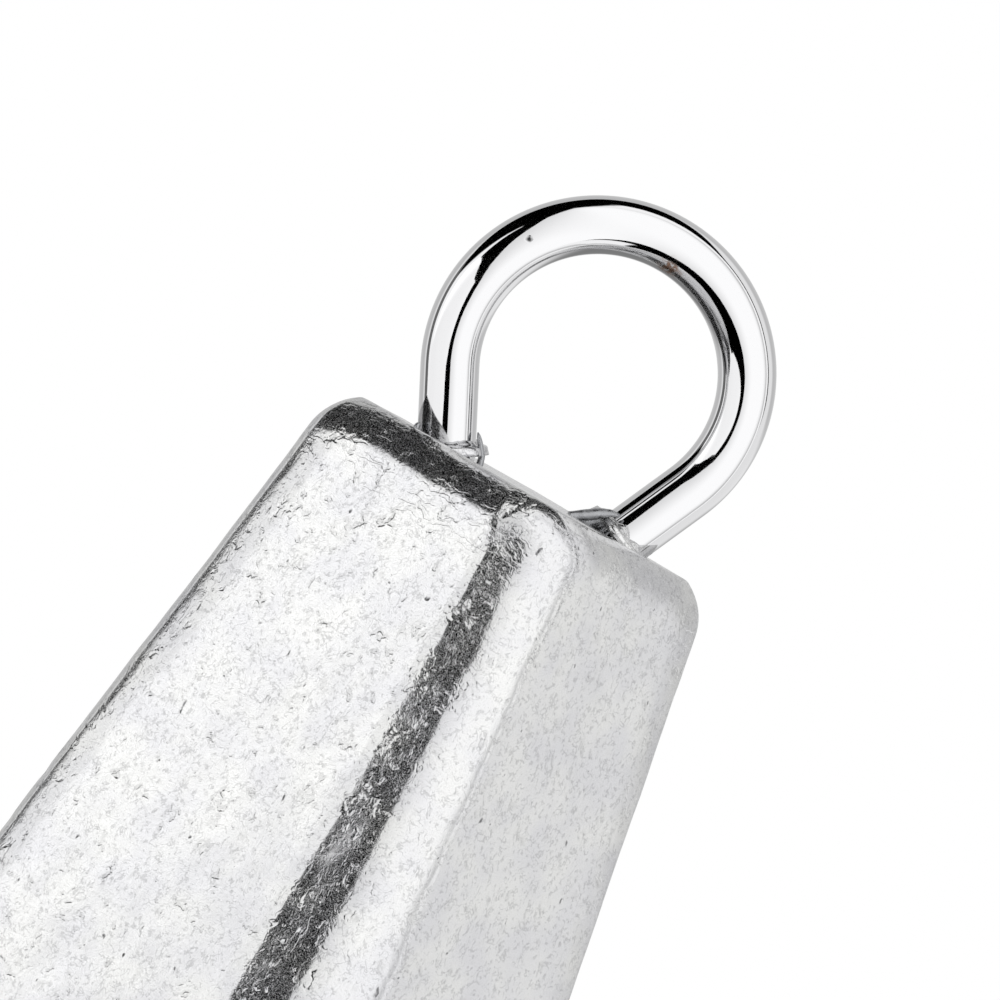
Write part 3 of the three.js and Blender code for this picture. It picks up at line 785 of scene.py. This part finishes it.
# %% Waves and dents
slow_per_mm, slow_rise, quick_per_mm, quick_rise, mean_sunk = 0.3, 0.03, 1.1, 0.012, 0.04
aslant_from_z, aslant_depth, aslant_slope = -9, 0.06, 0.024
dents = [  # (place, radius, depth) of nicks along the left and right corners
    (Vector((-8.1, 0, -11.4)), 0.4, 0.14), (Vector((-8.55, 0, -17)), 0.35, 0.1),
    (Vector((-8.7, -0.1, -17.8)), 0.3, 0.12), (Vector((-8.8, 0, -18.7)), 0.4, 0.12),
    (Vector((-8.9, -0.1, -19.6)), 0.3, 0.1), (Vector((-9, 0, -20.6)), 0.45, 0.14),
    (Vector((6, -0.5, -5)), 0.7, 0.08),
]


def cast_in(point, outwards):
    """A point of the skin, sunk a little as the casting's waves and dents have it."""
    slow = noise.noise(point * slow_per_mm + Vector((3, 1, 7)))
    quick = noise.noise(point * quick_per_mm + Vector((9, 4, 2)))
    sunk = mean_sunk + slow_rise * slow + quick_rise * quick
    for centre, radius, depth in dents:
        off_centre = (point - centre).length / radius
        if off_centre < 1:
            sunk += depth * (1 - off_centre ** 2) ** 2
    cut = max(0, (point.z - aslant_from_z) / (line_end_z - aslant_from_z)) ** 2
    return point - sunk * outwards - Vector((0, 0, cut * (aslant_depth + aslant_slope * point.x)))


outwards = [vertex.normal.copy() for vertex in lead_casting.data.vertices]
for vertex, normal in zip(lead_casting.data.vertices, outwards):
    vertex.co = cast_in(vertex.co / MM, normal) * MM
print("cast skin with", len(dents), "dents")

# %% [markdown]
# ## Wires
#
# A wire is bent from straight lengths and arcs, and its path is drawn the same way. Then its points
# are spread evenly, because a skin over uneven sections shows it in the mirrored lines.

# %% Paths of wires
def arc(centre, radius, start, end, steps):
    """Points on an arc in a plane, from one angle in degrees to another."""
    angles = [math.radians(start + (end - start) * i / steps) for i in range(steps + 1)]
    return [Vector((centre[0] + radius * math.cos(a), centre[1] + radius * math.sin(a))) for a in angles]


def evenly(points, spacing):
    """The same path with its points about `spacing` apart."""
    reach = [0.0]
    for before, after in zip(points, points[1:]):
        reach.append(reach[-1] + (after - before).length)
    count = max(2, round(reach[-1] / spacing))
    result, k = [], 0
    for i in range(count + 1):
        wanted = reach[-1] * i / count
        while k < len(points) - 2 and reach[k + 1] < wanted:
            k += 1
        step = reach[k + 1] - reach[k] or 1
        result.append(points[k].lerp(points[k + 1], (wanted - reach[k]) / step))
    return result


half_circle = evenly(arc((0, 0), 1, 0, 180, 90), 0.1)
print("half a circle of 1 mm radius at 0.1 mm spacing has", len(half_circle), "points")

# %% [markdown]
# A section is carried from point to point and turned with the path only as far as it must, so a wire
# has no twist in it.

# %% Sections along a path
def along_path(path, section):
    """Carries a section along a path without twisting. section(i) gives (across, up) pairs in mm."""
    rings = []
    sideways = None
    for i, at in enumerate(path):
        ahead = (path[min(i + 1, len(path) - 1)] - path[max(i - 1, 0)]).normalized()
        if sideways is None:
            sideways = Vector((0, 1, 0)).cross(ahead)
            if sideways.length < 0.1:
                sideways = Vector((1, 0, 0))
        sideways = (sideways - sideways.dot(ahead) * ahead).normalized()
        up = ahead.cross(sideways)
        rings.append([at + a * sideways + b * up for a, b in section(i)])
    return rings


def circle(radius, sides):
    return [(radius * math.cos(2 * math.pi * i / sides), radius * math.sin(2 * math.pi * i / sides))
            for i in range(sides)]


straight_wire = along_path([Vector((0, 0, z)) for z in range(3)], lambda i: circle(1, 4))
print("a straight wire:", len(straight_wire), "sections of", len(straight_wire[0]), "points")

# %% [markdown]
# ## The wire eyes
#
# Each eye is one wire, bent into a loop whose legs go down side by side into the lead and turn
# outwards at their feet. It is drawn as the bender makes it, from straight lines and arcs. The line
# eye was set into the mould a little off the axis, so it has a small shift of its own.

# %% Wire eyes
eye_wire, eye_loop_radius, eye_loop_height = 1.8, 4.5, 4.1
eye_leg_angle, eye_legs_apart, eye_leg_bend, eye_leg_depth = 25.5, 3.2, 3.0, 17.0
eye_anchor_bend, eye_anchor_angle, eye_anchor_length = 2.2, 60, 1.6
eye_spread = 1.028  # bent by hand, the loop springs a little wider than it is tall
point_spacing, wire_sides = 0.16, 40
lean = math.radians(eye_leg_angle)
half_apart = eye_legs_apart / 2
loop_start = Vector((eye_loop_radius * math.cos(lean), -eye_loop_radius * math.sin(lean)))
meet_z = loop_start.y - (loop_start.x - half_apart) / math.tan(lean)
bend_z = meet_z - eye_leg_bend * math.tan(lean / 2)
foot_z = -eye_loop_height - eye_leg_depth + eye_anchor_bend
foot = arc((half_apart + eye_anchor_bend, foot_z), eye_anchor_bend, 180 + eye_anchor_angle, 180, 16)
foot_end = Vector((math.sin(math.radians(eye_anchor_angle)), -math.cos(math.radians(eye_anchor_angle))))
right_leg = [foot[0] + eye_anchor_length * foot_end] + foot + arc(
    (half_apart + eye_leg_bend, bend_z), eye_leg_bend, 180, 180 - eye_leg_angle, 12)
left_leg = [Vector((-p.x, p.y)) for p in reversed(right_leg)]
loop = arc((0, 0), eye_loop_radius, -eye_leg_angle, 180 + eye_leg_angle, 160)
flat_path = evenly(right_leg + loop + left_leg, point_spacing)
for name, node, turned, shift in (
    ("line_eye_wire", "line_eye", 1, Vector((0.29, 0, -0.022))),
    ("hook_eye_wire", "hook_eye", -1, Vector((0, 0, hook_end_z - eye_loop_height))),
):
    path = [Vector((p.x * eye_spread, 0, turned * p.y)) + shift for p in flat_path]
    rings = along_path(path, lambda i: circle(eye_wire / 2, wire_sides))
    make_piece(name, rings, polished_wire, "jig", [node])

# %% [markdown]
# Where the legs come out of the mould, lead creeps up between wire and mould and stays as flash.
# First a low jagged collar round each leg, plated with the rest. The lead is tight round the wire
# here, as it is on the casting, so no gap shows. Each collar is a row of rings round the leg, whose
# height and reach follow a noise.

# %% Collars of flash
def jagged(*where):
    return noise.noise(Vector(where))


collar_middle_x = 0.25  # the line eye was set a little to the right of the body's axis
collar_points = 72
collar_profile = [  # (how far out from the wire, how far up), from the foot of the collar to its top
    (0.5, -0.25), (0.42, -0.02), (0.26, 0.16), (0.17, 0.45), (0.1, 0.9), (-0.03, 1.0), (-0.2, 0.3),
]
root_x = loop_start.x - (loop_start.y - line_end_z) * math.tan(lean)
for name, side_sign, tallest, seed in (("left", -1, 0.2, 3), ("right", 1, 0.3, 8)):
    root = Vector((collar_middle_x + side_sign * root_x, 0, line_end_z))
    axis = Vector((side_sign * math.sin(lean), 0, math.cos(lean)))
    across_leg = Vector((axis.z, 0, -axis.x))
    rings = []
    for reach, rise in collar_profile:
        ring = []
        for k in range(collar_points):
            a = 2 * math.pi * k / collar_points
            wild = 0.6 + 0.8 * jagged(math.cos(a) * 1.8, math.sin(a) * 1.8, seed)
            sharp = 0.2 * jagged(math.cos(a) * 5, math.sin(a) * 5, seed + rise)
            out = eye_wire / 2 + reach * (0.5 + 0.4 * wild)
            up = rise * tallest * max(0.15, wild + sharp) if rise > 0.05 else rise
            ring.append(root + out * (math.cos(a) * across_leg + math.sin(a) * Vector((0, 1, 0)))
                        + up * axis)
        rings.append(ring)
    make_piece(f"flash_collar_{name}", rings, plated_lead, "jig")

# %% [markdown]
# Then dull flakes that stand off the collars: at the right leg a tongue with a dark web behind it and a
# nub, at the left leg a burr and a sliver. The web is a flake of flash as well, but it is set in the
# trough between the tongue and the leg to fill it with dark: painted shade. Each is an oval section
# along a short path, thinner towards its tip and a little rough.

# %% Flakes of flash
flakes = [  # name, path in mm, width, thickness
    ("right_tongue", [(1.4, -1.0, -4.3), (1.7, -1.0, -4.08), (2.1, -0.95, -3.84), (2.5, -0.85, -3.62),
                      (2.85, -0.75, -3.55)], 0.46, 0.34),
    # the web: a dull flake set in the trough behind the tongue, painted shade there
    ("right_shade_web", [(1.9, -0.4, -4.3), (2.2, -0.4, -4.08), (2.5, -0.4, -3.9),
                   (2.8, -0.4, -3.72)], 0.5, 0.5),
    ("right_nub", [(4.1, -0.2, -4.3), (4.25, -0.25, -4.1), (4.35, -0.25, -3.97)], 0.3, 0.3),
    ("left_burr", [(-3.95, -0.6, -4.35), (-4.0, -0.6, -4.1), (-3.98, -0.55, -3.92)], 0.3, 0.24),
    ("left_sliver", [(-1.72, -0.75, -4.3), (-1.82, -0.75, -3.95), (-2.05, -0.7, -3.6),
                     (-2.25, -0.6, -3.35)], 0.26, 0.22),
]
flake_spacing, flake_points = 0.04, 24
for name, corners, width, thickness in flakes:
    path = evenly([Vector(corner) for corner in corners], flake_spacing)
    rings = []
    for i, at in enumerate(path):
        share = i / (len(path) - 1)
        ahead = (path[min(i + 2, len(path) - 1)] - path[max(i - 2, 0)]).normalized()
        side = Vector((0, 1, 0)).cross(ahead).normalized()
        up = ahead.cross(side)
        size = math.sqrt(max(0.02, 1 - share ** 3)) * (1 + 0.15 * jagged(share * 3, width * 9, 1))
        rings.append([
            at + size * (thickness / 2 * math.cos(t) * side + width / 2 * math.sin(t) * up)
            * (1 + 0.1 * jagged(math.cos(t), math.sin(t), share * 3 + width))
            for t in (2 * math.pi * k / flake_points for k in range(flake_points))])
    make_piece(f"flash_{name}", rings, lead_flash, "jig")

# %% [markdown]
# ## The split ring
#
# The ring is one flat wire, wound nearly twice, so that its two turns lie against each other and
# step over on one side. The hook's eye and the wire eye are threaded between them.

# %% Split ring
ring_radius, ring_wide, ring_deep, ring_corner = 6.35, 1.0, 1.3, 0.25
ring_pitch, ring_turns, ring_crossing = 1.06, 1.9, 44
ring_play = 0.6  # between the ring and the wire eye that it hangs in
ring_pivot_z = hook_end_z - eye_loop_height - eye_loop_radius
ring_centre_z = ring_pivot_z + eye_wire / 2 + ring_play + ring_deep / 2 - ring_radius
ring_outline = []  # the flat wire's section, with rounded corners
for corner, (sx, sy) in enumerate(((1, 1), (-1, 1), (-1, -1), (1, -1))):
    for k in range(5):
        a = math.radians(90 * corner + 90 * k / 4)
        ring_outline.append((sx * (ring_wide / 2 - ring_corner) + ring_corner * math.cos(a),
                             sy * (ring_deep / 2 - ring_corner) + ring_corner * math.sin(a)))
rings = []
steps = 400
for i in range(steps + 1):
    turned = (i / steps - 0.5) * 2 * math.pi * ring_turns
    share = min(max(math.degrees(turned) / ring_crossing + 0.5, 0), 1)
    across_ring = (share * share * (3 - 2 * share) - 0.5) * ring_pitch
    outward = Vector((0, math.cos(turned), math.sin(turned)))
    at = Vector((across_ring, 0, ring_centre_z)) + ring_radius * outward
    rings.append([at + Vector((a, 0, 0)) + b * outward for a, b in ring_outline])
make_piece("split_ring_wire", rings, spring_steel, "ring", ["split_ring"])

# %% [markdown]
# ## The treble hook
#
# A treble is made from two pieces. One wire is bent in the middle to form the eye, and its two ends
# become two hooks. A third hook is laid beside them, and the three shanks are brazed together. The
# bend of each hook is pressed flatter, which stiffens it, and the point is ground to a taper.

# %% Treble sizes
hook_wire, hook_eye_radius, hook_neck_radius = 2.0, 3.2, 2.0
hook_shank, hook_bend_radius, hook_point_length, hook_point_taper = 34.0, 8.2, 15.0, 7.0
shank_gap = 0.3  # filled with braze
hook_eye_drop = 0.55  # from the middle of the split ring's wire down to the middle of the hook's eye
shank_offset = (hook_wire + shank_gap) / math.sqrt(3)
double_shank_x = shank_offset * math.cos(math.radians(30))
neck_x = double_shank_x + hook_neck_radius
neck_drop = math.sqrt((hook_eye_radius + hook_neck_radius) ** 2 - neck_x ** 2)
neck_angle = math.degrees(math.atan2(neck_drop, neck_x))
hook_eye_z = ring_centre_z - ring_radius - hook_eye_drop
shank_top_z = hook_eye_z - neck_drop
hook_bend_z = shank_top_z - hook_shank
hook_azimuths = {"right": -30, "left": -150, "back": 90}
print(f"shanks from z {shank_top_z:.1f} to {hook_bend_z:.1f} mm")

# %% [markdown]
# Every hook is the same from its shank down: straight, half a circle, and straight up to the point.
# The first helper gives the stations along it, with the wire's thickness at each.

# %% Stations along a hook
bend_flattening, point_grinding = 0.16, 0.998  # shares of the thickness and of the section lost
shank_steps, bend_steps, rise_steps = 60, 48, 30


def sideways_from(azimuth):
    """The directions out of the hook's middle at that azimuth, and square to it."""
    a = math.radians(azimuth)
    outward = Vector((math.cos(a), math.sin(a), 0))
    return outward, Vector((-outward.y, outward.x, 0))


def bend_and_point(azimuth):
    """(place, thickness across, thickness in the hook's plane) down the shank, round and up."""
    outward, _ = sideways_from(azimuth)
    full = hook_wire / 2
    stations = []
    for i in range(shank_steps):
        z = shank_top_z + (hook_bend_z - shank_top_z) * i / shank_steps
        stations.append((shank_offset * outward + Vector((0, 0, z)), full, full))
    middle = shank_offset + hook_bend_radius
    for i in range(bend_steps + 1):
        share = i / bend_steps
        pressed = math.sin(math.pi * share) ** 0.7
        turned = math.pi * share
        at = (middle - hook_bend_radius * math.cos(turned)) * outward
        at.z = hook_bend_z - hook_bend_radius * math.sin(turned)
        stations.append((at, full * (1 - bend_flattening * pressed), full))
    out = middle + hook_bend_radius
    for i in range(1, rise_steps + 1):
        rise = hook_point_length * i / rise_steps
        taper = max(0, (rise - hook_point_length + hook_point_taper) / hook_point_taper)
        radius = full * math.sqrt(max(0, 1 - point_grinding * taper))
        at = out * outward
        at.z = hook_bend_z + rise
        stations.append((at, radius, radius))
    return stations


print(len(bend_and_point(hook_azimuths["back"])), "stations along a hook")

# %% [markdown]
# The second helper lays a section at each station, its flat side square to the hook's own plane.

# %% Sections of a hook
hook_sides = 28


def hook_rings(stations, plane_side_at):
    """Sections for a hook. plane_side_at(i) is square to the hook's plane at station i."""
    rings = []
    for i, (at, thick_across, thick_in) in enumerate(stations):
        ahead = (stations[min(i + 1, len(stations) - 1)][0] - stations[max(i - 1, 0)][0]).normalized()
        plane_side = plane_side_at(i)
        side = (plane_side - plane_side.dot(ahead) * ahead).normalized()
        inward = ahead.cross(side)
        rings.append([at + thick_across * math.cos(t) * side + thick_in * math.sin(t) * inward
                      for t in (2 * math.pi * k / hook_sides for k in range(hook_sides))])
    return rings


print("each section of a hook has", hook_sides, "corners")

# %% [markdown]
# The double hook's wire goes up one shank, round the eye and down the other. Each half of it turns
# its flat side to its own hook's plane, so the side direction is eased from one plane to the other
# over the eye.

# %% Double hook
right_stations = bend_and_point(hook_azimuths["right"])
left_stations = bend_and_point(hook_azimuths["left"])
right_side = sideways_from(hook_azimuths["right"])[1]
left_side = sideways_from(hook_azimuths["left"])[1]
back_y = -shank_offset * math.sin(math.radians(30))
eye_point_spacing = 0.25
eye_flat = arc((neck_x, -neck_drop), hook_neck_radius, 180, 180 - neck_angle, 14)
eye_flat += arc((0, 0), hook_eye_radius, -neck_angle, 180 + neck_angle, 90)[1:]
eye_flat += arc((-neck_x, -neck_drop), hook_neck_radius, neck_angle, 0, 14)[1:]
eye_stations = []
for p in evenly(eye_flat, eye_point_spacing):
    share = min(max((p.y + neck_drop) / neck_drop, 0), 1)
    leaning = share * share * (3 - 2 * share)
    at = Vector((p.x, back_y * (1 - leaning), hook_eye_z + p.y))
    eye_stations.append((at, hook_wire / 2, hook_wire / 2))
before_eye, after_eye = len(right_stations), len(right_stations) + len(eye_stations) - 2


def side_round_eye(i):
    share = min(max((i - before_eye) / (after_eye - before_eye), 0), 1)
    return right_side.lerp(-left_side, share)


rings = hook_rings(right_stations[::-1] + eye_stations[1:-1] + left_stations, side_round_eye)
make_piece("double_hook_wire", rings, tinned_hook, "treble", ["treble_double_hook"])

# %% [markdown]
# The single hook has no eye of its own. Its shank ends beside the others, with its cut end rounded
# off over 0.4 mm.

# %% Single hook
single_stations = bend_and_point(hook_azimuths["back"])
back_side = sideways_from(hook_azimuths["back"])[1]
top = single_stations[0][0]
cut_end = ((0, 0.6), (0.15, 0.85), (0.4, 1.0))  # (how far below the top, radius)
single_stations[:1] = [(top - Vector((0, 0, below)), radius, radius) for below, radius in cut_end]
rings = hook_rings(single_stations, lambda i: back_side)
make_piece("single_hook_wire", rings, tinned_hook, "treble", ["treble_single_hook"])

# %% [markdown]
# The barb is a sliver cut into the inner side of the point and lifted with a chisel. Each is its own
# small wedge. It starts inside the wire, thick and narrow, and its free end stands off towards the
# bend, thin and wide.

# %% Barbs
barb_height, barb_length = 6.2, 2.6
barb_least_reach, barb_reach, barb_root = 0.35, 1.5, 0.3
barb_half_width, barb_thickness, barb_steps = 0.62, 0.32, 12
for name, azimuth in hook_azimuths.items():
    outward, side = sideways_from(azimuth)
    out = shank_offset + 2 * hook_bend_radius
    tip_z = hook_bend_z + hook_point_length - barb_height
    rings = []
    for i in range(barb_steps + 1):
        share = i / barb_steps
        z = tip_z + barb_length * (1 - share)
        reach = barb_least_reach + (barb_reach - barb_least_reach) * share ** 1.4
        wide = barb_half_width * (1 - 0.35 * share) * min(1, 0.25 + share * 3)
        thick = barb_thickness * (1 - 0.8 * share)
        inner, root = out - reach, out - barb_root
        half = [(root, wide), (inner + thick, wide * 0.7), (inner, wide * 0.25)]
        corners = half + [(r, -w) for r, w in reversed(half)]
        rings.append([r * outward + w * side + Vector((0, 0, z - 0.25 * (root - r) * share))
                      for r, w in corners])
    make_piece(f"barb_{name}", rings[::-1], tinned_hook, "treble")

# %% [markdown]
# Braze wets both shanks and draws itself into the groove, so its surface is hollow between them. It
# thins out at both ends of the seam, and swells and sinks a little along it.

# %% Braze fillets
braze_inset, braze_steps, braze_hollow = 2.0, 120, 0.16
braze_climb, braze_least_climb = 52, 4  # degrees round the shanks: 4 at the ends, 52 more between
braze_sunk = 0.98  # the fillet's edges lie just inside the shanks
braze_thinning = 14  # the seam thins out over its last fourteenth
braze_foot = 0.14
half_gap = (hook_wire + shank_gap) / 2
base = shank_offset / 2
for name, azimuth in (("right", 30), ("left", 150), ("back", -90)):
    outward, side = sideways_from(azimuth)
    rings = []
    for i in range(braze_steps + 1):
        share = i / braze_steps
        z = shank_top_z - braze_inset + (hook_bend_z + 2 * braze_inset - shank_top_z) * share
        swell = 1 + 0.25 * noise.noise(Vector((azimuth, 0, z * 0.6)))
        ends = min(1, min(share, 1 - share) * braze_thinning) ** 0.5
        climb = math.radians(braze_climb * swell * ends + braze_least_climb)
        contact = Vector((half_gap - math.cos(climb) * hook_wire / 2 * braze_sunk,
                          base + math.sin(climb) * hook_wire / 2 * braze_sunk))
        hollow = braze_hollow * ends
        ring = []
        for k in range(9):
            t = k / 8 * 2 - 1
            ring.append(Vector((t * contact.x, contact.y - hollow * (1 - t * t) * swell)))
        ring += [Vector((-braze_foot, base)), Vector((braze_foot, base))]
        rings.append([p.y * outward + p.x * side + Vector((0, 0, z)) for p in ring])
    make_piece(f"braze_fillet_{name}", rings, braze_filler, "treble",
               [f"braze_seam_{name}"])
